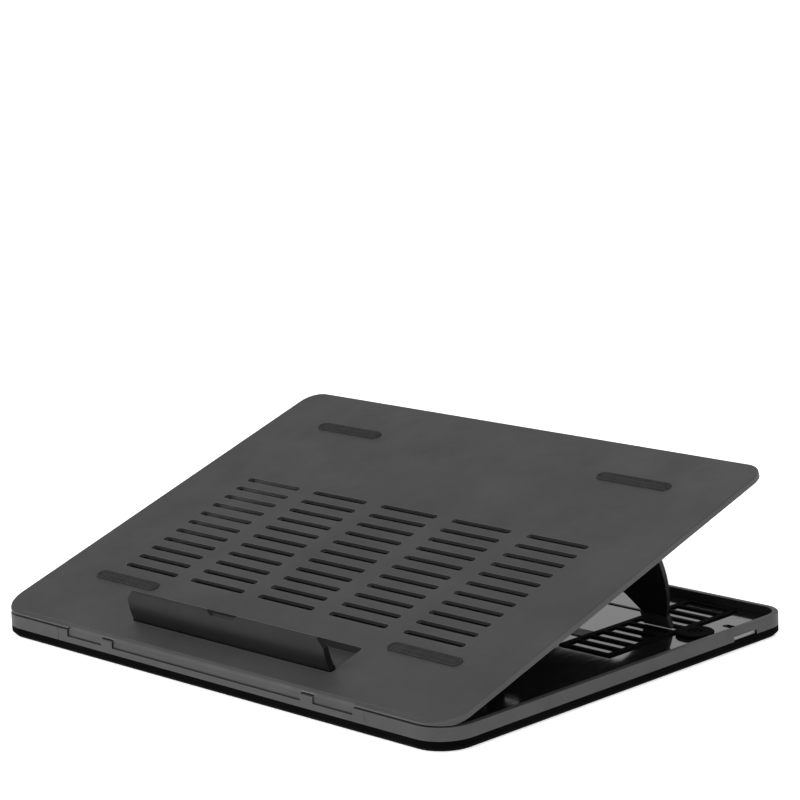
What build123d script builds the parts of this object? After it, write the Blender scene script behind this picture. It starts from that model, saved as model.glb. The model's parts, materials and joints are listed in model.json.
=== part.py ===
from build123d import *
import os
from math import atan2, cos, degrees, hypot, radians, sin

# Laptop cooling pad: a vented top panel hinged to a shallow base tray, propped up by a folding
# strut whose two feet stand in notch ladders. Millimetres. X runs along the width, +Y to the
# rear, +Z up. The origin is on the table, under the middle of the base.

# ---- base ----
base_width = 356.0
base_depth = 270.0
base_front_corner = 20.0
base_rear_corner = 15.0
wall = 3.2  # thickness of the tray's side walls
foot_proud = 0.4  # rubber feet below the bottom cover
foot_sunk = 0.6
cover_floor = 2.0  # thickness of the bottom cover
cover_rim = 2.4  # width of the cover's upright rim
cover_bevel = 2.0
joint_z = 6.0  # where the tray's wall meets the cover's rim
floor_z = 8.4  # top of the tray's floor
tray_floor = 1.5
wall_top = 13.0
wall_round = 0.4  # edge rounding along the top of the walls
front_y = -base_depth / 2
rear_y = base_depth / 2

# ---- panel ----
tilt = 18.0  # slope of the panel when the strut stands in its middle notch
hinge_y = front_y + 6.0
hinge_z = 10.8
barrel_radius = 5.2  # the panel's top face is tangent to the barrels
panel_thickness = 4.2
panel_front = -4.0  # measured up the slope from the hinge axis
panel_rear = 261.0
panel_front_corner = 19.0
panel_rear_corner = 12.0
panel_round = 0.9  # rounding of the top edge
panel_bevel = 0.8  # chamfer of the bottom edge
panel_skin = 2.0
panel_border = 4.0  # solid rim round the hollow underside
hollow_front = 9.0
hollow_corner = 14.0
front_clear_z = 13.8  # underside of the panel's front edge, above the tray's wall
body_gap = 0.3  # running gap between parts that move past each other

# ---- hinge ----
rail_half = 122.0
rail_back_y = front_y + 15.0
rail_top = 9.3
tab_spans = [(75.2, 84.4), (114.0, 122.0)]
tab_clear = 0.4
rail_gap = 0.35  # seam between the rail and the tray's front wall
rail_screw_places = [(x, rail_back_y - 3.0) for x in (-96.0, 0.0, 96.0)]
pin_radius = 1.4
pin_start = 68.0
pin_end = 121.0
running_gap = 0.06

# ---- retaining lip ----
lip_half = 78.0
lip_s = 17.7
lip_n = 2.6
lip_root = 2.0
lip_height = 21.1  # from the lip's pivot to its top edge
lip_notch_width = 21.0
lip_notch_depth = 2.3
lip_corner = 5.0
lip_pin_radius = 1.0
tub_wall = 2.4
tub_floor = 1.4
tub_end = 79.6  # half length of the recess that the lip folds into
tub_front = 14.7
tub_back = 39.2
tub_bottom = 0.2

# ---- strut ----
pivot_s = 187.0
pivot_n = -3.2
rod_radius = 2.0
rod_half = 152.0
knuckle_radius = 3.5
strut_thickness = 2.8
strut_bulge = 1.8
arch_top = 41.0  # lower edge of the plate between its legs, down from the rod
arch_half = 113.0
arch_corner = 8.0
leg_inner = 124.6  # inner edge of a leg where it enters its boot
leg_outer = 141.0
waist_point = (148.6, 35.0)  # across, and down from the rod
shoulder = 8.0
boot_radius = 1.5
boot_length = 7.0
boot_inner = 122.5
boot_outer = 141.5
foot_y = front_y + 213.8
foot_z = floor_z + boot_radius + body_gap
bracket_places = [-125.0, -45.0, 45.0, 125.0]
bracket_width = 12.0
bracket_radius = 4.0
bracket_screw_places = [(x + step, pivot_s - 12.0) for x in bracket_places for step in (-8.0, 8.0)]
knuckle_end = 153.0

# ---- notch ladders ----
ladder_inner = 112.4
ladder_outer = 148.6
ladder_window = (116.0, 145.0)
ladder_height = 0.9
rung_width = 3.4
rung_pitch = 10.5
rung_round = 0.3
notch_y = front_y + 214.05  # the notch that the feet stand in
notches_before = 5
notches_after = 4
ladder_ends = (front_y + 154.6, front_y + 262.0)

rib_y = front_y + 232.0
rib_width = 1.6
rib_height = 0.5
band_y = front_y + 179.0
band_width = 10.6

# ---- vents, pads and fasteners ----
vent_length = 44.0
vent_width = 4.0
vent_columns = 5
vent_rows = 11
vent_pitch_x = 56.0
vent_pitch_s = 10.0
vent_centre_s = 110.0
pad_length = 52.0
pad_width = 8.0
pad_places = [(-112.0, 226.0), (112.0, 226.0), (-118.0, 46.0), (118.0, 46.0)]
pad_sunk = 0.8
pad_proud = 0.8
foot_places = [(-128.0, -108.0), (128.0, -108.0), (-128.0, 108.0), (128.0, 108.0)]
foot_length = 46.0
foot_width = 10.0
screw_places = [(-150.0, -92.0), (150.0, -92.0), (-150.0, 92.0), (150.0, 92.0), (0.0, -92.0), (0.0, 92.0)]
cover_screw_places = [(x, s) for x in (-164.0, 164.0) for s in (24.0, 132.0, 244.0)]
winder_x = 157.5
winder_y = front_y + 214.0
winder_radius = 10.5
winder_rim = 1.1
hub_radius = 7.0
hub_height = 0.9
screw_head = 0.9
winder_recess = 0.8  # level of the recess that its screw's head lies in, above the floor
recess_y = front_y + 231.8
recess_length = 19.5
recess_height = 2.5
recess_depth = 1.6
oval_hole = (163.0, front_y + 236.9)

slope_dir = Vector(0, cos(radians(tilt)), sin(radians(tilt)))
slope_normal = Vector(0, -sin(radians(tilt)), cos(radians(tilt)))
hinge_point = Vector(0, hinge_y, hinge_z)


def plate_outline(width, front, rear, front_corner, rear_corner):
    """A flat outline with one corner radius at the front and another at the rear."""
    with BuildSketch(Plane.XY) as plate:
        with Locations((0, (front + rear) / 2)):
            Rectangle(width, rear - front)
        fillet(plate.vertices().group_by(Axis.Y)[0], front_corner)
        fillet(plate.vertices().group_by(Axis.Y)[-1], rear_corner)
    return plate.sketch


def base_outline(inset):
    """The base's outline, drawn in by inset all round."""
    return plate_outline(
        base_width - 2 * inset,
        front_y + inset,
        rear_y - inset,
        base_front_corner - inset,
        base_rear_corner - inset,
    )


def on_slope(s, n):
    """The (y, z) of a point s up the slope and n off it, both from the hinge axis."""
    point = hinge_point + slope_dir * s + slope_normal * n
    return point.Y, point.Z


def panel_plane(n):
    """A plane parallel to the panel, n off the hinge axis; its local axes are X and s."""
    return Plane(origin=hinge_point + slope_normal * n, x_dir=(1, 0, 0), z_dir=slope_normal)


def slope_section(x):
    """A plane across the width at x; its local axes are s and n."""
    return Plane(origin=hinge_point + Vector(x, 0, 0), x_dir=slope_dir, z_dir=(1, 0, 0))


pivot_y, pivot_z = on_slope(pivot_s, pivot_n)
strut_length = hypot(foot_y - pivot_y, foot_z - pivot_z)
strut_dir = Vector(0, foot_y - pivot_y, foot_z - pivot_z) / strut_length
strut_normal = Vector(0, -strut_dir.Z, strut_dir.Y)
strut_plane = Plane(origin=(0, pivot_y, pivot_z), x_dir=(1, 0, 0), z_dir=strut_normal)
strut_middle = Vector(0, pivot_y, pivot_z) + strut_dir * strut_length / 2 + strut_normal * strut_bulge
boot_start = strut_length - boot_length
panel_top = barrel_radius
panel_bottom = panel_top - panel_thickness
screw_depth = panel_thickness - 1.0  # how far screws reach up into the panel
hollow_width = base_width - 2 * panel_border
hollow_length = panel_rear - panel_border - hollow_front
hollow_middle = hollow_front + hollow_length / 2
tray_bottom = floor_z - tray_floor
rail_bottom = joint_z - tray_floor
floor_inset = cover_rim + 0.1

full_outline = base_outline(0)
cover_inside = base_outline(cover_rim)
tray_inside = base_outline(wall)
floor_outline = base_outline(floor_inset)
panel_outline = plate_outline(base_width, panel_front, panel_rear, panel_front_corner, panel_rear_corner)

os.makedirs("parts", exist_ok=True)

# ---- bottom cover: a shallow pan with a bevelled lower edge ----
with BuildPart() as bottom_cover:
    with BuildSketch(Plane.XY.offset(foot_proud)):
        add(full_outline)
    extrude(amount=joint_z - foot_proud)
    chamfer(bottom_cover.edges().group_by(Axis.Z)[0], cover_bevel)
    with BuildSketch(Plane.XY.offset(foot_proud + cover_floor)):
        add(cover_inside)
    extrude(amount=joint_z, mode=Mode.SUBTRACT)
    with BuildSketch(Plane.XY.offset(foot_proud)):
        with Locations(*foot_places):
            SlotOverall(foot_length, foot_width)
    extrude(amount=foot_sunk, mode=Mode.SUBTRACT)
    with BuildSketch(Plane.XY.offset(foot_proud)):
        with Locations(*screw_places):
            Circle(3.2)
    extrude(amount=1.1, mode=Mode.SUBTRACT)
    with BuildSketch(Plane.XY.offset(foot_proud)):
        with Locations(*screw_places):
            Circle(1.6)
    extrude(amount=cover_floor, mode=Mode.SUBTRACT)
bottom_cover.part.label = "bottom_cover"
export_step(bottom_cover.part, "parts/bottom_cover.step")

# ---- rubber feet, set into the bottom cover ----
with BuildPart() as rubber_feet:
    with BuildSketch(Plane.XY):
        with Locations(*foot_places):
            SlotOverall(foot_length - 0.2, foot_width - 0.2)
    extrude(amount=foot_proud + foot_sunk)
rubber_feet.part.label = "rubber_feet"
export_step(rubber_feet.part, "parts/rubber_feet.step")

# ---- base screws, from below into the tray's bosses ----
with BuildPart() as base_screws:
    with BuildSketch(Plane.XY.offset(foot_proud + 0.1)):
        with Locations(*screw_places):
            Circle(2.9)
    extrude(amount=1.0)
    with BuildSketch(Plane.XY.offset(foot_proud + 0.1)):
        with Locations(*screw_places):
            Circle(1.25)
    extrude(amount=4.3)
    with BuildSketch(Plane.XY.offset(foot_proud + 0.1)):
        with Locations(*screw_places):
            Rectangle(3.2, 0.7)
            Rectangle(0.7, 3.2)
    extrude(amount=0.5, mode=Mode.SUBTRACT)
base_screws.part.label = "base_screws"
export_step(base_screws.part, "parts/base_screws.step")

# ---- base tray: upright walls round a glossy floor ----
with BuildPart() as base_tray:
    with BuildSketch(Plane.XY.offset(joint_z)):
        add(full_outline)
    extrude(amount=wall_top - joint_z)
    fillet(base_tray.edges().group_by(Axis.Z)[-1], wall_round)
    with BuildSketch(Plane.XY.offset(joint_z)):
        add(tray_inside)
    extrude(amount=wall_top - joint_z, mode=Mode.SUBTRACT)
    with BuildSketch(Plane.XY.offset(tray_bottom)):
        add(floor_outline)
    extrude(amount=tray_floor)
    with BuildSketch(Plane.XY.offset(foot_proud + cover_floor)):
        with Locations(*screw_places):
            Circle(4.0)
    extrude(amount=tray_bottom - foot_proud - cover_floor)
    with BuildSketch(Plane.XY.offset(foot_proud + cover_floor)):
        with Locations(*screw_places):
            Circle(1.25)
    extrude(amount=2.6, mode=Mode.SUBTRACT)
    # a thin rib and a broad band run across the floor between the ladders
    with BuildSketch(Plane.XY.offset(floor_z)):
        with Locations((0, rib_y)):
            Rectangle(2 * ladder_inner - 2.0, rib_width)
        with Locations((0, band_y)):
            Rectangle(2 * ladder_inner - 2.0, band_width)
    extrude(amount=rib_height)
    # the front wall makes way for the hinge rail
    with BuildSketch(Plane.XY.offset(rail_bottom)):
        with Locations((0, (front_y + rail_back_y) / 2)):
            Rectangle(2 * (rail_half + rail_gap), rail_back_y - front_y + 0.2)
    extrude(amount=wall_top, mode=Mode.SUBTRACT)
    # a shallow recess low in the right wall, and an oval hole in the floor beside it
    with BuildSketch(Plane.XY.offset(joint_z)):
        with Locations((base_width / 2, recess_y)):
            Rectangle(2 * recess_depth, recess_length)
    extrude(amount=recess_height, mode=Mode.SUBTRACT)
    with BuildSketch(Plane.XY.offset(tray_bottom)):
        with Locations(oval_hole):
            SlotOverall(9.0, 5.0)
        with Locations((winder_x, winder_y)):
            Circle(1.5)
    extrude(amount=tray_floor, mode=Mode.SUBTRACT)
base_tray.part.label = "base_tray"
export_step(base_tray.part, "parts/base_tray.step")

# ---- front hinge rail: cradles the panel's barrels between upright knuckles ----
with BuildPart() as front_hinge_rail:
    with BuildSketch(Plane.YZ):
        with BuildLine():
            Polyline(
                (front_y, joint_z),
                (front_y, rail_top),
                (rail_back_y, rail_top),
                (rail_back_y, rail_bottom),
                (front_y + floor_inset, rail_bottom),
                (front_y + floor_inset, joint_z),
                close=True,
            )
        make_face()
    extrude(amount=rail_half, both=True)
    with BuildSketch(Plane.YZ):
        with Locations((hinge_y, hinge_z)):
            Circle(barrel_radius + body_gap)
    extrude(amount=tab_spans[1][0], both=True, mode=Mode.SUBTRACT)
    for side in (-1, 1):
        for inner, outer in tab_spans:
            with BuildSketch(Plane.XY.offset(joint_z)):
                with Locations((side * (inner + outer) / 2, front_y + 5.5)):
                    Rectangle(outer - inner, 11.0)
            extrude(amount=wall_top - joint_z)
    fillet(front_hinge_rail.edges().filter_by(Axis.X).group_by(Axis.Z)[-1], 0.6)
    with BuildSketch(Plane.YZ):
        with Locations((hinge_y, hinge_z)):
            Circle(pin_radius)
    extrude(amount=rail_half, both=True, mode=Mode.SUBTRACT)
    with BuildSketch(Plane.XY.offset(rail_bottom)):
        with Locations(*rail_screw_places):
            Circle(1.25)
    extrude(amount=3.6, mode=Mode.SUBTRACT)
front_hinge_rail.part.label = "front_hinge_rail"
export_step(front_hinge_rail.part, "parts/front_hinge_rail.step")

# ---- rail screws, up through the bottom cover's floor ----
with BuildPart() as rail_screws:
    with BuildSketch(Plane.XY.offset(foot_proud + cover_floor)):
        with Locations(*rail_screw_places):
            Circle(2.6)
    extrude(amount=rail_bottom - foot_proud - cover_floor)
    with BuildSketch(Plane.XY.offset(rail_bottom)):
        with Locations(*rail_screw_places):
            Circle(1.2)
    extrude(amount=3.4)
rail_screws.part.label = "rail_screws"
export_step(rail_screws.part, "parts/rail_screws.step")

# ---- hinge pins: one through the knuckles on each side ----
for name, low in (("hinge_pin_left", -pin_end), ("hinge_pin_right", pin_start)):
    with BuildPart() as hinge_pin:
        with BuildSketch(Plane.YZ.offset(low)):
            with Locations((hinge_y, hinge_z)):
                Circle(pin_radius)
        extrude(amount=pin_end - pin_start)
        chamfer(hinge_pin.edges().filter_by(GeomType.CIRCLE), 0.3)
    hinge_pin.part.label = name
    export_step(hinge_pin.part, f"parts/{name}.step")

# ---- notch ladders: a frame of rungs on the tray's floor, one for each foot ----
ladder_middle_y = (ladder_ends[0] + ladder_ends[1]) / 2
window_middle = (ladder_window[0] + ladder_window[1]) / 2
for name, side in (("notch_ladder_left", -1), ("notch_ladder_right", 1)):
    with BuildPart() as ladder:
        with BuildSketch(Plane.XY.offset(floor_z)):
            with Locations((side * (ladder_inner + ladder_outer) / 2, ladder_middle_y)):
                Rectangle(ladder_outer - ladder_inner, ladder_ends[1] - ladder_ends[0])
        extrude(amount=ladder_height)
        with BuildSketch(Plane.XY.offset(floor_z)):
            for notch in range(-notches_before, notches_after + 1):
                with Locations((side * window_middle, notch_y + notch * rung_pitch)):
                    Rectangle(ladder_window[1] - ladder_window[0], rung_pitch - rung_width)
        extrude(amount=ladder_height, mode=Mode.SUBTRACT)
        fillet(ladder.edges().filter_by(Axis.X).group_by(Axis.Z)[-1], rung_round)
    ladder.part.label = name
    export_step(ladder.part, f"parts/{name}.step")

# ---- cord winder beside the cord exit ----
with BuildPart() as cord_winder:
    with BuildSketch(Plane.XY.offset(floor_z)):
        with Locations((winder_x, winder_y)):
            Circle(hub_radius)
    extrude(amount=hub_height)
    with BuildSketch(Plane.XY.offset(floor_z + hub_height)):
        with Locations((winder_x, winder_y)):
            Circle(winder_radius)
    extrude(amount=winder_rim)
    fillet(cord_winder.edges().group_by(Axis.Z)[-1], 0.5)
    with BuildSketch(Plane.XY.offset(floor_z)):
        with Locations((winder_x, winder_y)):
            Circle(1.5)
    extrude(amount=hub_height + winder_rim, mode=Mode.SUBTRACT)
    with BuildSketch(Plane.XY.offset(floor_z + winder_recess)):
        with Locations((winder_x, winder_y)):
            Circle(4.0)
    extrude(amount=2.0, mode=Mode.SUBTRACT)
cord_winder.part.label = "cord_winder"
export_step(cord_winder.part, "parts/cord_winder.step")

with BuildPart() as winder_screw:
    with BuildSketch(Plane.XY.offset(floor_z + winder_recess)):
        with Locations((winder_x, winder_y)):
            Circle(3.0)
    extrude(amount=screw_head)
    with BuildSketch(Plane.XY.offset(tray_bottom)):
        with Locations((winder_x, winder_y)):
            Circle(1.45)
    extrude(amount=tray_floor + winder_recess)
    with BuildSketch(Plane.XY.offset(floor_z + winder_recess + screw_head - 0.4)):
        with Locations((winder_x, winder_y)):
            Rectangle(3.4, 0.7)
            Rectangle(0.7, 3.4)
    extrude(amount=0.6, mode=Mode.SUBTRACT)
winder_screw.part.label = "winder_screw"
export_step(winder_screw.part, "parts/winder_screw.step")

# ---- top panel ----
with BuildPart() as top_panel:
    with BuildSketch(panel_plane(panel_bottom)):
        add(panel_outline)
    extrude(amount=panel_thickness)
    top_edges = top_panel.faces().sort_by(Axis((0, 0, 0), tuple(slope_normal)))[-1].edges()
    fillet(top_edges, panel_round)
    bottom_edges = top_panel.faces().sort_by(Axis((0, 0, 0), tuple(slope_normal)))[0].edges()
    chamfer(bottom_edges, panel_bevel)
    # hollow underside, closed later by the under cover
    with BuildSketch(panel_plane(panel_bottom)):
        with Locations((0, hollow_middle)):
            RectangleRounded(hollow_width, hollow_length, hollow_corner)
    extrude(amount=panel_thickness - panel_skin, mode=Mode.SUBTRACT)
    # the tub that the lip folds into
    with BuildSketch(panel_plane(tub_bottom - tub_floor)):
        with Locations((0, (tub_front + tub_back) / 2)):
            Rectangle(2 * (tub_end + tub_wall), tub_back - tub_front + 2 * tub_wall)
    extrude(amount=panel_top - panel_skin - tub_bottom + tub_floor + 0.5)
    with BuildSketch(panel_plane(tub_bottom)):
        with Locations((0, (tub_front + tub_back) / 2)):
            RectangleRounded(2 * tub_end, tub_back - tub_front, 1.5)
    extrude(amount=panel_top, mode=Mode.SUBTRACT)
    with BuildSketch(slope_section(0)):
        with Locations((lip_s, lip_n)):
            Circle(lip_pin_radius + 0.05)
    extrude(amount=tub_end + tub_wall - 0.8, both=True, mode=Mode.SUBTRACT)
    # hinge barrels take the place of the front edge between the end knuckles
    with BuildSketch(slope_section(0)):
        with Locations((-5.0, 0)):
            Rectangle(10.0, 4 * barrel_radius)
    extrude(amount=tab_spans[1][0], both=True, mode=Mode.SUBTRACT)
    with BuildSketch(slope_section(0)):
        Circle(barrel_radius)
        with Locations((4.5, panel_top - panel_thickness / 2)):
            Rectangle(9.0, panel_thickness)
    extrude(amount=tab_spans[1][0], both=True)
    # room for the knuckles, and a front edge that clears the tray's wall
    for side in (-1, 1):
        for inner, outer in (
            (tab_spans[0][0] - tab_clear, tab_spans[0][1] + tab_clear),
            (tab_spans[1][0] - tab_clear, base_width / 2 + 1.0),
        ):
            with BuildSketch(Plane.XY.offset(front_clear_z)):
                with Locations((side * (inner + outer) / 2, front_y + 5.8)):
                    Rectangle(outer - inner, 12.0)
            extrude(amount=-front_clear_z, mode=Mode.SUBTRACT)
    with BuildSketch(Plane.YZ):
        with Locations((hinge_y, hinge_z)):
            Circle(pin_radius + running_gap)
    extrude(amount=pin_end + 0.5, both=True, mode=Mode.SUBTRACT)
    # crease along the front, where the flat top turns into the rounded barrel
    with BuildSketch(panel_plane(panel_top - 0.25)):
        with Locations((0, -0.6)):
            Rectangle(base_width - 2 * panel_front_corner, 0.5)
    extrude(amount=1.0, mode=Mode.SUBTRACT)
    # vent slots
    with BuildSketch(panel_plane(0)):
        with Locations((0, vent_centre_s)):
            with GridLocations(vent_pitch_x, vent_pitch_s, vent_columns, vent_rows):
                SlotOverall(vent_length, vent_width)
    extrude(amount=panel_top + 1.0, mode=Mode.SUBTRACT)
    # seats for the grip pads
    with BuildSketch(panel_plane(panel_top - pad_sunk)):
        with Locations(*pad_places):
            SlotOverall(pad_length, pad_width)
    extrude(amount=pad_sunk + 1.0, mode=Mode.SUBTRACT)
    # pilot holes for the bracket and cover screws
    with BuildSketch(panel_plane(panel_bottom)):
        with Locations(*bracket_screw_places):
            Circle(1.2)
        with Locations(*cover_screw_places):
            Circle(1.0)
    extrude(amount=screw_depth + 0.2, mode=Mode.SUBTRACT)
top_panel.part.label = "top_panel"
export_step(top_panel.part, "parts/top_panel.step")

# ---- under cover: closes the panel's hollow side ----
with BuildPart() as panel_under_cover:
    with BuildSketch(panel_plane(panel_bottom)):
        with Locations((0, hollow_middle)):
            RectangleRounded(hollow_width - 0.4, hollow_length - 0.4, hollow_corner - 0.2)
        with Locations((0, (tub_front + tub_back) / 2)):
            Rectangle(
                2 * (tub_end + tub_wall) + 0.4,
                tub_back - tub_front + 2 * tub_wall + 0.4,
                mode=Mode.SUBTRACT,
            )
        with Locations((0, vent_centre_s)):
            with GridLocations(vent_pitch_x, vent_pitch_s, vent_columns, vent_rows):
                SlotOverall(vent_length + 2.0, vent_width + 1.0, mode=Mode.SUBTRACT)
        with Locations(*bracket_screw_places):
            Circle(1.4, mode=Mode.SUBTRACT)
        with Locations(*cover_screw_places):
            Circle(1.2, mode=Mode.SUBTRACT)
    extrude(amount=panel_thickness - panel_skin - 0.4)
panel_under_cover.part.label = "panel_under_cover"
export_step(panel_under_cover.part, "parts/panel_under_cover.step")

# ---- screws that hold the under cover ----
with BuildPart() as under_cover_screws:
    with BuildSketch(panel_plane(panel_bottom)):
        with Locations(*cover_screw_places):
            Circle(2.2)
    extrude(amount=-0.8)
    with BuildSketch(panel_plane(panel_bottom)):
        with Locations(*cover_screw_places):
            Circle(1.0)
    extrude(amount=screw_depth)
under_cover_screws.part.label = "under_cover_screws"
export_step(under_cover_screws.part, "parts/under_cover_screws.step")

# ---- grip pads on the top face ----
with BuildPart() as grip_pads:
    with BuildSketch(panel_plane(panel_top - pad_sunk)):
        with Locations(*pad_places):
            SlotOverall(pad_length - 0.2, pad_width - 0.2)
    extrude(amount=pad_sunk + pad_proud)
    pad_faces = grip_pads.faces().filter_by(Plane(origin=(0, 0, 0), z_dir=slope_normal))
    fillet([edge for face in pad_faces.sort_by(Axis((0, 0, 0), tuple(slope_normal)))[-4:]
            for edge in face.edges()], 0.5)
grip_pads.part.label = "grip_pads"
export_step(grip_pads.part, "parts/grip_pads.step")

# ---- strut brackets: four bearings under the panel ----
with BuildPart() as strut_brackets:
    for bracket_x in bracket_places:
        with BuildSketch(slope_section(bracket_x - bracket_width / 2)):
            with Locations((pivot_s, pivot_n)):
                Circle(bracket_radius)
            with Locations((pivot_s, (pivot_n + panel_bottom) / 2)):
                Rectangle(2 * bracket_radius, panel_bottom - pivot_n)
        extrude(amount=bracket_width)
        with BuildSketch(slope_section(bracket_x - bracket_width)):
            with Locations((pivot_s - 11.0, panel_bottom - 0.8)):
                Rectangle(14.0, 1.6)
        extrude(amount=2 * bracket_width)
    with BuildSketch(slope_section(-rod_half)):
        with Locations((pivot_s, pivot_n)):
            Circle(rod_radius + 0.05)
    extrude(amount=2 * rod_half, mode=Mode.SUBTRACT)
    with BuildSketch(panel_plane(panel_bottom - 1.6)):
        with Locations(*bracket_screw_places):
            Circle(1.3)
    extrude(amount=1.6, mode=Mode.SUBTRACT)
strut_brackets.part.label = "strut_brackets"
export_step(strut_brackets.part, "parts/strut_brackets.step")

with BuildPart() as bracket_screws:
    with BuildSketch(panel_plane(panel_bottom - 1.6)):
        with Locations(*bracket_screw_places):
            Circle(2.4)
    extrude(amount=-1.2)
    with BuildSketch(panel_plane(panel_bottom - 1.6)):
        with Locations(*bracket_screw_places):
            Circle(1.2)
    extrude(amount=1.6 + screw_depth)
bracket_screws.part.label = "bracket_screws"
export_step(bracket_screws.part, "parts/bracket_screws.step")

# ---- strut: an arched plate, bowed a little to the rear ----
foot_point = (foot_y, foot_z)
pivot_point = (pivot_y, pivot_z)
middle_point = (strut_middle.Y, strut_middle.Z)
with BuildPart() as strut_plate:
    with BuildSketch(Plane.YZ):
        with BuildLine():
            ThreePointArc(pivot_point, middle_point, foot_point)
        trace(line_width=strut_thickness)
    extrude(amount=160.0, both=True)
    with BuildSketch(strut_plane.offset(-20.0)):
        with BuildLine():
            arch = FilletPolyline((0, arch_top), (arch_half, arch_top), (leg_inner, boot_start), radius=arch_corner)
            Line(arch @ 1, (leg_outer, boot_start))
            outer_edge = ThreePointArc((leg_outer, boot_start), waist_point, (knuckle_end, shoulder))
            outer_top = Line(outer_edge @ 1, (knuckle_end, 1.0))
            Line(outer_top @ 1, (0, 1.0))
            mirror(about=Plane.YZ)
        make_face()
    extrude(amount=40.0, mode=Mode.INTERSECT)
    with BuildSketch(Plane.YZ.offset(-knuckle_end)):
        with Locations(pivot_point):
            Circle(knuckle_radius)
    extrude(amount=2 * knuckle_end)
    with BuildSketch(strut_plane.offset(-10.0)):
        for bracket_x in bracket_places:
            with Locations((bracket_x, 0.2)):
                Rectangle(bracket_width + 0.8, 10.4)
    extrude(amount=20.0, mode=Mode.SUBTRACT)
    with BuildSketch(Plane.YZ.offset(-knuckle_end)):
        with Locations(pivot_point):
            Circle(rod_radius + 0.04)
    extrude(amount=2 * knuckle_end, mode=Mode.SUBTRACT)
strut_plate.part.label = "strut_plate"
export_step(strut_plate.part, "parts/strut_plate.step")

with BuildPart() as strut_rod:
    with BuildSketch(Plane.YZ.offset(-rod_half)):
        with Locations(pivot_point):
            Circle(rod_radius)
    extrude(amount=2 * rod_half)
    chamfer(strut_rod.edges().filter_by(GeomType.CIRCLE), 0.4)
strut_rod.part.label = "strut_rod"
export_step(strut_rod.part, "parts/strut_rod.step")

# ---- rubber boots moulded on the strut's two feet ----
for name, side in (("strut_foot_left", -1), ("strut_foot_right", 1)):
    with BuildPart() as strut_foot:
        with BuildSketch(Plane.YZ.offset(min(side * boot_inner, side * boot_outer))):
            with BuildLine():
                ThreePointArc(pivot_point, middle_point, foot_point)
            trace(line_width=2 * boot_radius)
            with Locations(foot_point):
                Circle(boot_radius)
        extrude(amount=boot_outer - boot_inner)
        with BuildSketch(strut_plane.offset(-20.0)):
            with Locations((side * (boot_inner + boot_outer) / 2, boot_start + 10.0)):
                Rectangle(40.0, 20.0)
        extrude(amount=40.0, mode=Mode.INTERSECT)
    strut_foot.part.label = name
    export_step(strut_foot.part, f"parts/{name}.step")

# ---- retaining lip: stands across the panel and folds back into its tub ----
with BuildPart() as retaining_lip:
    with BuildSketch(slope_section(-lip_half)):
        with BuildLine():
            root = ThreePointArc((lip_s - lip_root, lip_n), (lip_s, lip_n - lip_root), (lip_s + lip_root, lip_n))
            rear_low = Polyline(
                root @ 1,
                (lip_s + lip_root, lip_n + 4.0),
                (lip_s + 1.3, lip_n + 4.6),
                (lip_s + 1.3, lip_n + lip_height - 1.3),
            )
            crown = ThreePointArc(
                rear_low @ 1,
                (lip_s + 0.2, lip_n + lip_height),
                (lip_s - 1.1, lip_n + lip_height - 1.0),
            )
            ThreePointArc(crown @ 1, (lip_s - 2.5, lip_n + 11.5), root @ 0)
        make_face()
    extrude(amount=2 * lip_half)
    # rounded upper corners and the finger notch in the top edge
    with BuildSketch(Plane(origin=hinge_point, x_dir=(1, 0, 0), z_dir=slope_dir * -1)):
        with BuildLine():
            corners = Polyline(
                (-lip_half, lip_n - lip_root - 1.0),
                (-lip_half, lip_n + lip_height - lip_corner),
                (-lip_half + lip_corner, lip_n + lip_height + 1.0),
                (-lip_notch_width / 2 - 2.0, lip_n + lip_height + 1.0),
                (-lip_notch_width / 2 + 1.5, lip_n + lip_height - lip_notch_depth),
                (lip_notch_width / 2 - 1.5, lip_n + lip_height - lip_notch_depth),
                (lip_notch_width / 2 + 2.0, lip_n + lip_height + 1.0),
                (lip_half - lip_corner, lip_n + lip_height + 1.0),
                (lip_half, lip_n + lip_height - lip_corner),
                (lip_half, lip_n - lip_root - 1.0),
                close=True,
            )
        make_face()
    extrude(amount=60.0, both=True, mode=Mode.INTERSECT)
    with BuildSketch(slope_section(-lip_half)):
        with Locations((lip_s, lip_n)):
            Circle(lip_pin_radius)
    extrude(amount=2 * lip_half, mode=Mode.SUBTRACT)
retaining_lip.part.label = "retaining_lip"
export_step(retaining_lip.part, "parts/retaining_lip.step")

with BuildPart() as lip_pin:
    with BuildSketch(slope_section(-tub_end - 1.2)):
        with Locations((lip_s, lip_n)):
            Circle(lip_pin_radius)
    extrude(amount=2 * (tub_end + 1.2))
lip_pin.part.label = "lip_pin"
export_step(lip_pin.part, "parts/lip_pin.step")

# ---- soft strip on the lip's rear face, where the laptop's front edge leans ----
with BuildPart() as lip_cushion:
    with BuildSketch(slope_section(-lip_half + 6.0)):
        with Locations((lip_s + 1.65, lip_n + 11.0)):
            Rectangle(0.7, 12.4)
    extrude(amount=2 * lip_half - 12.0)
lip_cushion.part.label = "lip_cushion"
export_step(lip_cushion.part, "parts/lip_cushion.step")

print("strut length", round(strut_length, 2), "pivot", round(pivot_y, 3), round(pivot_z, 3))
print("lip pivot", on_slope(lip_s, lip_n))
print("strut angle below level", round(degrees(atan2(pivot_z - foot_z, foot_y - pivot_y)), 2))
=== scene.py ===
import json
from math import cos, pi, radians, sin

import bmesh
import bpy
from mathutils import Matrix, Vector


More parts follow.
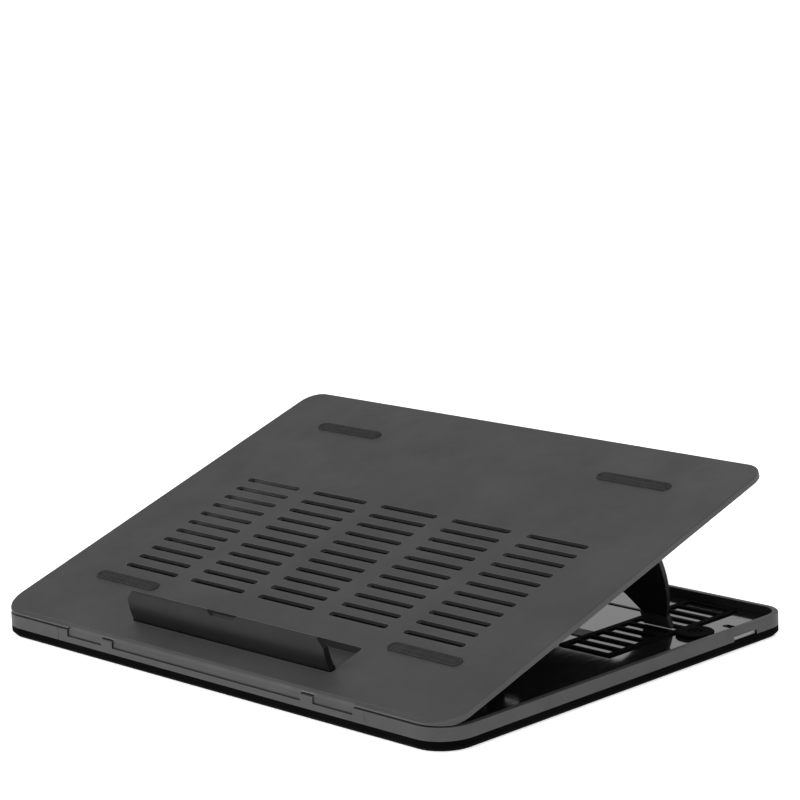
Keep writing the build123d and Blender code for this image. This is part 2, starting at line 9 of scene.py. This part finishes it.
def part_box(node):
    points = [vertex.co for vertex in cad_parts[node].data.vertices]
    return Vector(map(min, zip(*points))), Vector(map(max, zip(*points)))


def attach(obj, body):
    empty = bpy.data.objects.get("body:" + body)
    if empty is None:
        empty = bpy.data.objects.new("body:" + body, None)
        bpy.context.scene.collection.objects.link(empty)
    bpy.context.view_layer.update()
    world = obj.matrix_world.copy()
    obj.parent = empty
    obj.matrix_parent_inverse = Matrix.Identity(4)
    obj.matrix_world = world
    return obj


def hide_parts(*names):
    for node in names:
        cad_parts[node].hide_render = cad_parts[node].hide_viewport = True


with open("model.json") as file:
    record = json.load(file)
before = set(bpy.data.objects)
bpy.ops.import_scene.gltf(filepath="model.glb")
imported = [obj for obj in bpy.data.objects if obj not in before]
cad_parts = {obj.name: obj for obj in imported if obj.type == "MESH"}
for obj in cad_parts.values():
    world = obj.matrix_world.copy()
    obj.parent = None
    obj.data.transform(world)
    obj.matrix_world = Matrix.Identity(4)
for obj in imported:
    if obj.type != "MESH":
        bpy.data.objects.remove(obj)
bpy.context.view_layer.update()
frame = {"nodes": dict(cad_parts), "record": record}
MM = 0.001
EDGE_BLUR = 0.05 * MM  # half the width of the change from one finish to the next

# ---- the frame's own places ----
mounts = {mount["name"]: mount for mount in frame["record"]["mounts"]}
panel_normal = Vector(mounts["laptop_face"]["axis"]).normalized()
across = Vector((1, 0, 0))
up_slope = panel_normal.cross(across).normalized()
tray_floor_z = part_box("notch_ladder_right")[0].z
cover_top_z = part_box("bottom_cover")[1].z
side_wall_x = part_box("base_tray")[1].x

# the recess in the right wall: its middle, half length and how far in its back may lie
recess_y = 96.8 * MM
recess_half = 9.7 * MM
recess_back = (side_wall_x - 2.5 * MM, side_wall_x - 0.8 * MM)
recess_z = (cover_top_z + 0.1 * MM, cover_top_z + 2.4 * MM)


# ---- node helpers ----
class Shader:
    """A material's node tree, with short calls for the nodes used here."""

    def __init__(self, name):
        self.material = bpy.data.materials.new(name)
        self.material.use_nodes = True
        self.tree = self.material.node_tree
        self.nodes = self.tree.nodes
        self.principled = self.nodes["Principled BSDF"]
        places = self.nodes.new("ShaderNodeTexCoord")
        self.where = places.outputs["Object"]
        self.facing = places.outputs["Normal"]

    def link(self, source, target):
        self.tree.links.new(source, target)

    def set(self, **values):
        for name, value in values.items():
            self.principled.inputs[name.replace("_", " ")].default_value = value

    def noise(self, scale, detail=4.0, rough=0.55, stretch=None):
        node = self.nodes.new("ShaderNodeTexNoise")
        node.inputs["Scale"].default_value = scale
        node.inputs["Detail"].default_value = detail
        node.inputs["Roughness"].default_value = rough
        source = self.where
        if stretch:
            mapping = self.nodes.new("ShaderNodeMapping")
            mapping.inputs["Scale"].default_value = stretch
            self.link(source, mapping.inputs["Vector"])
            source = mapping.outputs["Vector"]
        self.link(source, node.inputs["Vector"])
        return node.outputs["Fac"]

    def cells(self, scale):
        node = self.nodes.new("ShaderNodeTexVoronoi")
        node.inputs["Scale"].default_value = scale
        self.link(self.where, node.inputs["Vector"])
        return node.outputs["Distance"]

    def ramp(self, source, low, high, out_low, out_high):
        node = self.nodes.new("ShaderNodeMapRange")
        for name, value in (("From Min", low), ("From Max", high), ("To Min", out_low), ("To Max", out_high)):
            node.inputs[name].default_value = value
        self.link(source, node.inputs["Value"])
        return node.outputs["Result"]

    def mix_colour(self, factor, first, second):
        node = self.nodes.new("ShaderNodeMix")
        node.data_type = "RGBA"
        self.link(factor, node.inputs["Factor"])
        for socket, value in ((node.inputs[6], first), (node.inputs[7], second)):
            if isinstance(value, tuple):
                socket.default_value = (*value, 1.0)
            else:
                self.link(value, socket)
        return node.outputs[2]

    def mix_value(self, factor, first, second):
        node = self.nodes.new("ShaderNodeMix")
        self.link(factor, node.inputs["Factor"])
        for socket, value in ((node.inputs[2], first), (node.inputs[3], second)):
            if isinstance(value, (int, float)):
                socket.default_value = value
            else:
                self.link(value, socket)
        return node.outputs[0]

    def bump(self, height, strength, distance, under=None):
        node = self.nodes.new("ShaderNodeBump")
        node.inputs["Strength"].default_value = strength
        node.inputs["Distance"].default_value = distance
        self.link(height, node.inputs["Height"])
        if under is not None:
            self.link(under, node.inputs["Normal"])
        return node.outputs["Normal"]

    def above(self, axis, level):
        """0 below a level along an axis, 1 above it."""
        split = self.nodes.new("ShaderNodeSeparateXYZ")
        self.link(self.where, split.inputs[0])
        return self.ramp(split.outputs[axis], level - EDGE_BLUR, level + EDGE_BLUR, 0.0, 1.0)

    def between(self, axis, low, high):
        """1 between two levels along an axis, 0 outside them."""
        return self.mix_value(self.above(axis, high), self.above(axis, low), 0.0)

    def edge_mask(self, radius):
        """1 near a sharp edge, 0 on flat stretches."""
        bevel = self.nodes.new("ShaderNodeBevel")
        bevel.samples = 4
        bevel.inputs["Radius"].default_value = radius
        geometry = self.nodes.new("ShaderNodeNewGeometry")
        dot = self.nodes.new("ShaderNodeVectorMath")
        dot.operation = "DOT_PRODUCT"
        self.link(bevel.outputs["Normal"], dot.inputs[0])
        self.link(geometry.outputs["Normal"], dot.inputs[1])
        return self.ramp(dot.outputs["Value"], 0.86, 0.999, 1.0, 0.0)

    def finish(self, colour, roughness, normal, **values):
        """Links the three textures, sets the plain values and gives the material."""
        for name, source in (("Base Color", colour), ("Roughness", roughness), ("Normal", normal)):
            self.link(source, self.principled.inputs[name])
        self.set(**values)
        return self.material


def grey(value, warmth=0.0):
    return (value * (1 + warmth), value, value * (1 - warmth))


def moulded_plastic(name, tones, rough, specular, grain, depth, edge=0.0):
    """Injection-moulded plastic: spark-eroded grain, faint cloudiness, and a painted highlight that lightens
    the colour along edges, which are also made glossier.
    """
    dark, light = tones
    rough_low, rough_high = rough
    shader = Shader(name)
    clouds = shader.noise(22.0, 3.0)
    colour = shader.mix_colour(shader.ramp(clouds, 0.35, 0.65, 0.0, 1.0), grey(dark), grey(light))
    fine = shader.noise(grain, 3.0, 0.6)
    pits = shader.cells(grain * 0.55)
    colour = shader.mix_colour(shader.ramp(fine, 0.3, 0.75, 0.0, 0.28), colour, grey(light * 1.5))
    roughness = shader.ramp(shader.noise(60.0, 5.0), 0.3, 0.7, rough_low, rough_high)
    # painted highlight: edge sets how far the colour along edges is lightened towards three times the light
    # tone; the edges also get a lower roughness
    if edge:
        edge_highlight_mask = shader.edge_mask(0.6 * MM)
        colour = shader.mix_colour(shader.ramp(edge_highlight_mask, 0.0, 1.0, 0.0, edge), colour, grey(light * 3.0))
        roughness = shader.mix_value(edge_highlight_mask, roughness, max(0.18, rough_low - 0.16))
    normal = shader.bump(pits, depth, 0.10 * MM)
    normal = shader.bump(fine, depth * 1.4, 0.12 * MM, normal)
    return shader.finish(colour, roughness, normal, Specular_IOR_Level=specular)


def tray_plastic(name, floor_top):
    """The tray: satin charcoal outside, near-black painted shade on inward and low inner faces, painted
    highlights on edges and on the back of the wall recess, and a polished floor below floor_top.
    """
    shader = Shader(name)
    # painted shade: inner_black is the near-black colour given to the tray's inner faces
    inner_black = grey(0.003)
    # faces that look inwards have their normal against their place
    level = shader.nodes.new("ShaderNodeVectorMath")
    level.operation = "MULTIPLY"
    level.inputs[1].default_value = (1.0, 1.0, 0.0)
    shader.link(shader.where, level.inputs[0])
    facing = shader.nodes.new("ShaderNodeVectorMath")
    facing.operation = "DOT_PRODUCT"
    shader.link(level.outputs["Vector"], facing.inputs[0])
    shader.link(shader.facing, facing.inputs[1])
    inward = shader.ramp(facing.outputs["Value"], -20 * MM, -5 * MM, 1.0, 0.0)
    outward = shader.ramp(facing.outputs["Value"], 5 * MM, 20 * MM, 0.0, 1.0)
    wall = shader.mix_value(outward, shader.above("Z", floor_top + 0.1 * MM), 1.0)
    wall_colour = shader.mix_colour(shader.noise(1800.0, 3.0), grey(0.021), grey(0.033))
    # painted highlight: the outer wall colour is lightened towards grey along edges
    edge_highlight_mask = shader.edge_mask(0.5 * MM)
    wall_colour = shader.mix_colour(shader.ramp(edge_highlight_mask, 0.0, 1.0, 0.0, 0.5), wall_colour, grey(0.12))
    # painted shade: faces that look inwards, and low faces that don't look outwards, get inner_black instead
    # of the wall colour
    wall_colour = shader.mix_colour(inward, wall_colour, inner_black)
    low_colour = shader.mix_colour(outward, inner_black, wall_colour)
    tall = shader.above("Z", floor_top + 1.5 * MM)
    wall_colour = shader.mix_colour(tall, low_colour, wall_colour)
    # painted highlight: the back of the recess in the right wall is coloured light grey, standing in for
    # light falling on it
    recess = shader.between("Y", recess_y - recess_half, recess_y + recess_half)
    for mask in (shader.between("X", *recess_back), shader.between("Z", *recess_z), outward):
        recess = shader.mix_value(mask, 0.0, recess)
    wall_colour = shader.mix_colour(recess, wall_colour, grey(0.30))
    floor_colour = shader.mix_colour(shader.noise(35.0, 4.0), grey(0.006), grey(0.010))
    colour = shader.mix_colour(wall, floor_colour, wall_colour)
    wall_rough = shader.ramp(shader.noise(70.0, 5.0), 0.3, 0.7, 0.52, 0.64)
    scuffs = shader.noise(260.0, 6.0, 0.7, (1.0, 0.12, 1.0))
    floor_rough = shader.ramp(scuffs, 0.45, 0.75, 0.07, 0.16)
    roughness = shader.mix_value(wall, floor_rough, wall_rough)
    grain = shader.noise(2400.0, 3.0, 0.6)
    ripple = shader.noise(18.0, 2.0)
    normal = shader.bump(shader.mix_value(wall, ripple, grain), 0.06, 0.12 * MM)
    return shader.finish(colour, roughness, normal, Specular_IOR_Level=0.5)


def rubber(name, value):
    """Dull black rubber with a dusty bloom and fine pores."""
    shader = Shader(name)
    bloom = shader.ramp(shader.noise(140.0, 6.0, 0.65), 0.4, 0.8, 0.0, 0.6)
    colour = shader.mix_colour(bloom, grey(value), grey(value * 2.2, 0.03))
    roughness = shader.ramp(shader.noise(500.0, 4.0), 0.3, 0.7, 0.68, 0.86)
    normal = shader.bump(shader.cells(3200.0), 0.25, 0.08 * MM)
    return shader.finish(colour, roughness, normal, Specular_IOR_Level=0.3)


def steel(name, along):
    """Plated steel with fine drawn lines along one axis."""
    shader = Shader(name)
    stretch = tuple(0.04 if axis == along else 1.0 for axis in "XYZ")
    lines = shader.noise(5200.0, 4.0, 0.6, stretch)
    tone = shader.mix_colour(shader.noise(180.0, 4.0), (0.36, 0.37, 0.39), (0.56, 0.56, 0.57))
    roughness = shader.ramp(lines, 0.3, 0.7, 0.24, 0.42)
    return shader.finish(tone, roughness, shader.bump(lines, 0.12, 0.05 * MM), Metallic=1.0)


# ---- materials on the CAD nodes ----
# the last number of the panel, strut and lip calls is the strength of a painted highlight along their edges
finishes = {
    "panel": moulded_plastic("panel_texture", (0.025, 0.035), (0.44, 0.56), 0.36, 2300.0, 0.09, 0.9),
    "tray": tray_plastic("tray_two_finish", tray_floor_z),
    "cover": moulded_plastic("cover_black", (0.0010, 0.0018), (0.75, 0.90), 0.02, 2000.0, 0.10),
    "inner": moulded_plastic("inner_black", (0.005, 0.008), (0.42, 0.55), 0.28, 2200.0, 0.06),
    "winder": moulded_plastic("winder_black", (0.001, 0.002), (0.80, 0.92), 0.02, 2200.0, 0.06),
    "ladder": moulded_plastic("ladder_black", (0.001, 0.002), (0.80, 0.94), 0.03, 2000.0, 0.08),
    "strut": moulded_plastic("strut_black", (0.003, 0.006), (0.40, 0.52), 0.20, 2400.0, 0.05, 0.5),
    "lip": moulded_plastic("lip_satin", (0.004, 0.007), (0.30, 0.40), 0.16, 3000.0, 0.05, 0.5),
    "rubber": rubber("rubber_black", 0.012),
    "steel_x": steel("steel_drawn_x", "X"),
    "steel_z": steel("steel_turned_z", "Z"),
}
node_finish = {
    "top_panel": "panel",
    "base_tray": "tray",
    "front_hinge_rail": "tray",
    "bottom_cover": "cover",
    "notch_ladder_left": "ladder",
    "notch_ladder_right": "ladder",
    "cord_winder": "winder",
    "panel_under_cover": "inner",
    "strut_brackets": "inner",
    "strut_plate": "strut",
    "strut_foot_left": "rubber",
    "strut_foot_right": "rubber",
    "retaining_lip": "lip",
    "lip_cushion": "rubber",
    "grip_pads": "rubber",
    "rubber_feet": "rubber",
    "strut_rod": "steel_x",
    "lip_pin": "steel_x",
    "hinge_pin_left": "steel_x",
    "hinge_pin_right": "steel_x",
    "base_screws": "steel_z",
    "rail_screws": "steel_z",
    "winder_screw": "winder",
    "under_cover_screws": "steel_z",
    "bracket_screws": "steel_z",
}
for node, finish in node_finish.items():
    mesh = frame["nodes"][node].data
    mesh.materials.clear()
    mesh.materials.append(finishes[finish])


# ---- soft rubber pieces, modelled over their CAD solids ----
def islands(node):
    """The vertex positions of each separate solid in a node."""
    mesh = bmesh.new()
    mesh.from_mesh(frame["nodes"][node].data)
    bmesh.ops.remove_doubles(mesh, verts=mesh.verts, dist=1e-6)
    left = set(mesh.verts)
    groups = []
    while left:
        stack = [left.pop()]
        group = []
        while stack:
            vert = stack.pop()
            group.append(vert.co.copy())
            for edge in vert.link_edges:
                other = edge.other_vert(vert)
                if other in left:
                    left.remove(other)
                    stack.append(other)
        groups.append(group)
    mesh.free()
    return sorted(groups, key=lambda points: (round(points[0].y, 3), round(points[0].x, 3)))


def spans(points, axes):
    """The lowest and highest value of the points along each axis."""
    return [(min(p.dot(a) for p in points), max(p.dot(a) for p in points)) for a in axes]


def stadium(half_straight, radius, steps=14):
    """Outline points of a slot shape, anticlockwise."""
    points = []
    for end in (1, -1):
        for step in range(steps + 1):
            angle = -end * pi / 2 + pi * step / steps
            points.append((end * half_straight + radius * cos(angle), radius * sin(angle)))
    return points


def grooved_pad(name, node, body, axes):
    """Slot-shaped pads with a rounded edge and two grooves round the top; axes are along, across and up."""
    along, sideways, up = axes
    mesh = bmesh.new()
    for points in islands(node):
        (a0, a1), (s0, s1), (u0, u1) = spans(points, axes)
        radius = (s1 - s0) / 2
        straight = (a1 - a0) / 2 - radius
        height = u1 - u0
        centre = along * (a0 + a1) / 2 + sideways * (s0 + s1) / 2
        round_edge = min(0.45 * MM, 0.3 * height)
        groove_depth = min(0.35 * MM, 0.3 * height)
        groove_slope = 0.04 * radius
        groove_bottom = 0.10 * radius
        groove_pitch = 0.34 * radius
        # inset from the outline, depth below the top
        profile = [(0.0, height), (0.0, round_edge), (0.3 * round_edge, 0.3 * round_edge), (round_edge, 0.0)]
        inset = 0.30 * radius
        for _ in range(2):
            far_side = inset + groove_slope + groove_bottom
            profile += [(inset, 0.0), (inset + groove_slope, groove_depth)]
            profile += [(far_side, groove_depth), (far_side + groove_slope, 0.0)]
            inset += groove_pitch
        rings = []
        for step_in, depth in profile:
            ring = []
            for x, y in stadium(straight, radius - step_in):
                ring.append(mesh.verts.new(centre + along * x + sideways * y + up * (u1 - depth)))
            rings.append(ring)
        for lower, upper in zip(rings, rings[1:]):
            for i in range(len(lower)):
                j = (i + 1) % len(lower)
                mesh.faces.new((lower[i], lower[j], upper[j], upper[i]))
        mesh.faces.new(rings[-1])
        mesh.faces.new(list(reversed(rings[0])))
    bmesh.ops.recalc_face_normals(mesh, faces=mesh.faces)
    data = bpy.data.meshes.new(name)
    mesh.to_mesh(data)
    mesh.free()
    for polygon in data.polygons:
        polygon.use_smooth = len(polygon.vertices) == 4
    piece = bpy.data.objects.new(name, data)
    bpy.context.scene.collection.objects.link(piece)
    data.materials.append(finishes["rubber"])
    edges = piece.modifiers.new("rounding", "BEVEL")
    edges.width = 0.08 * MM
    edges.segments = 2
    edges.limit_method = "ANGLE"
    edges.angle_limit = radians(35)
    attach(piece, body)
    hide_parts(node)


down = Vector((0, 0, -1))
grooved_pad("grip_pads_grooved", "grip_pads", "panel", (across, up_slope, panel_normal))
grooved_pad("rubber_feet_grooved", "rubber_feet", "base", (across, Vector((0, -1, 0)), down))
grooved_pad("lip_cushion_soft", "lip_cushion", "lip", (across, panel_normal, up_slope))


# ---- stage ----
def stage_floor():
    """A wide white floor."""
    data = bpy.data.meshes.new("stage_floor")
    half = 30.0
    corners = [(-half, -half, 0), (half, -half, 0), (half, half, 0), (-half, half, 0)]
    data.from_pydata(corners, [], [(0, 1, 2, 3)])
    floor = bpy.data.objects.new("stage_floor", data)
    bpy.context.scene.collection.objects.link(floor)
    shader = Shader("stage_white")
    shader.set(Base_Color=(0.92, 0.92, 0.92, 1.0), Roughness=0.9, Specular_IOR_Level=0.0)
    shader.set(Emission_Color=(1.0, 1.0, 1.0, 1.0), Emission_Strength=0.52)
    data.materials.append(shader.material)


def studio_world():
    """Bright near the horizon and dimmer overhead, like a white cove under soft lamps."""
    world = bpy.data.worlds.new("studio")
    bpy.context.scene.world = world
    world.use_nodes = True
    nodes = world.node_tree.nodes
    links = world.node_tree.links
    direction = nodes.new("ShaderNodeTexCoord").outputs["Generated"]
    split = nodes.new("ShaderNodeSeparateXYZ")
    ramp = nodes.new("ShaderNodeValToRGB")
    stops = ramp.color_ramp.elements
    stops[0].position = 0.0
    stops[0].color = (1.15, 1.15, 1.15, 1.0)
    stops[1].position = 1.0
    stops[1].color = (0.55, 0.55, 0.55, 1.0)
    for place, value in ((0.16, 1.10), (0.30, 0.90), (0.46, 0.42)):
        stop = stops.new(place)
        stop.color = (value, value, value, 1.0)
    links.new(direction, split.inputs[0])
    links.new(split.outputs["Z"], ramp.inputs["Fac"])
    links.new(ramp.outputs["Color"], nodes["Background"].inputs["Color"])


def softbox(name, place, aim, size, power):
    data = bpy.data.lights.new(name, "AREA")
    data.shape = "RECTANGLE"
    data.size, data.size_y = size
    data.energy = power
    lamp = bpy.data.objects.new(name, data)
    bpy.context.scene.collection.objects.link(lamp)
    lamp.location = place
    lamp.rotation_euler = (Vector(aim) - Vector(place)).to_track_quat("-Z", "Y").to_euler()


def photo_camera():
    """Front-right view, a little above the table, through a long lens."""
    azimuth = radians(45.72)
    elevation = radians(11.74)
    roll = radians(-2.45)
    place = Vector((1.1315, -1.0849, 0.4579))
    view = Vector((-sin(azimuth) * cos(elevation), cos(azimuth) * cos(elevation), -sin(elevation)))
    data = bpy.data.cameras.new("photo_camera")
    data.sensor_width = 36.0
    data.lens = 131.2
    camera = bpy.data.objects.new("photo_camera", data)
    bpy.context.scene.collection.objects.link(camera)
    turn = view.to_track_quat("-Z", "Y").to_matrix().to_4x4() @ Matrix.Rotation(roll, 4, "Z")
    camera.matrix_world = Matrix.Translation(place) @ turn
    bpy.context.scene.camera = camera


stage_floor()
studio_world()
softbox("key_left", (-1.3, -1.6, 1.5), (0, 0, 0.03), (1.6, 1.0), 26.0)
softbox("fill_right", (1.9, -0.6, 1.2), (0, 0, 0.03), (1.2, 1.2), 10.0)
softbox("corner_glint", (1.3, -1.7, 1.6), (0.15, -0.12, 0.02), (0.30, 0.30), 16.0)
softbox("top_back", (-0.4, 1.6, 1.9), (0, 0.1, 0.0), (1.8, 0.9), 8.0)
photo_camera()
bpy.context.scene.view_settings.view_transform = "Standard"
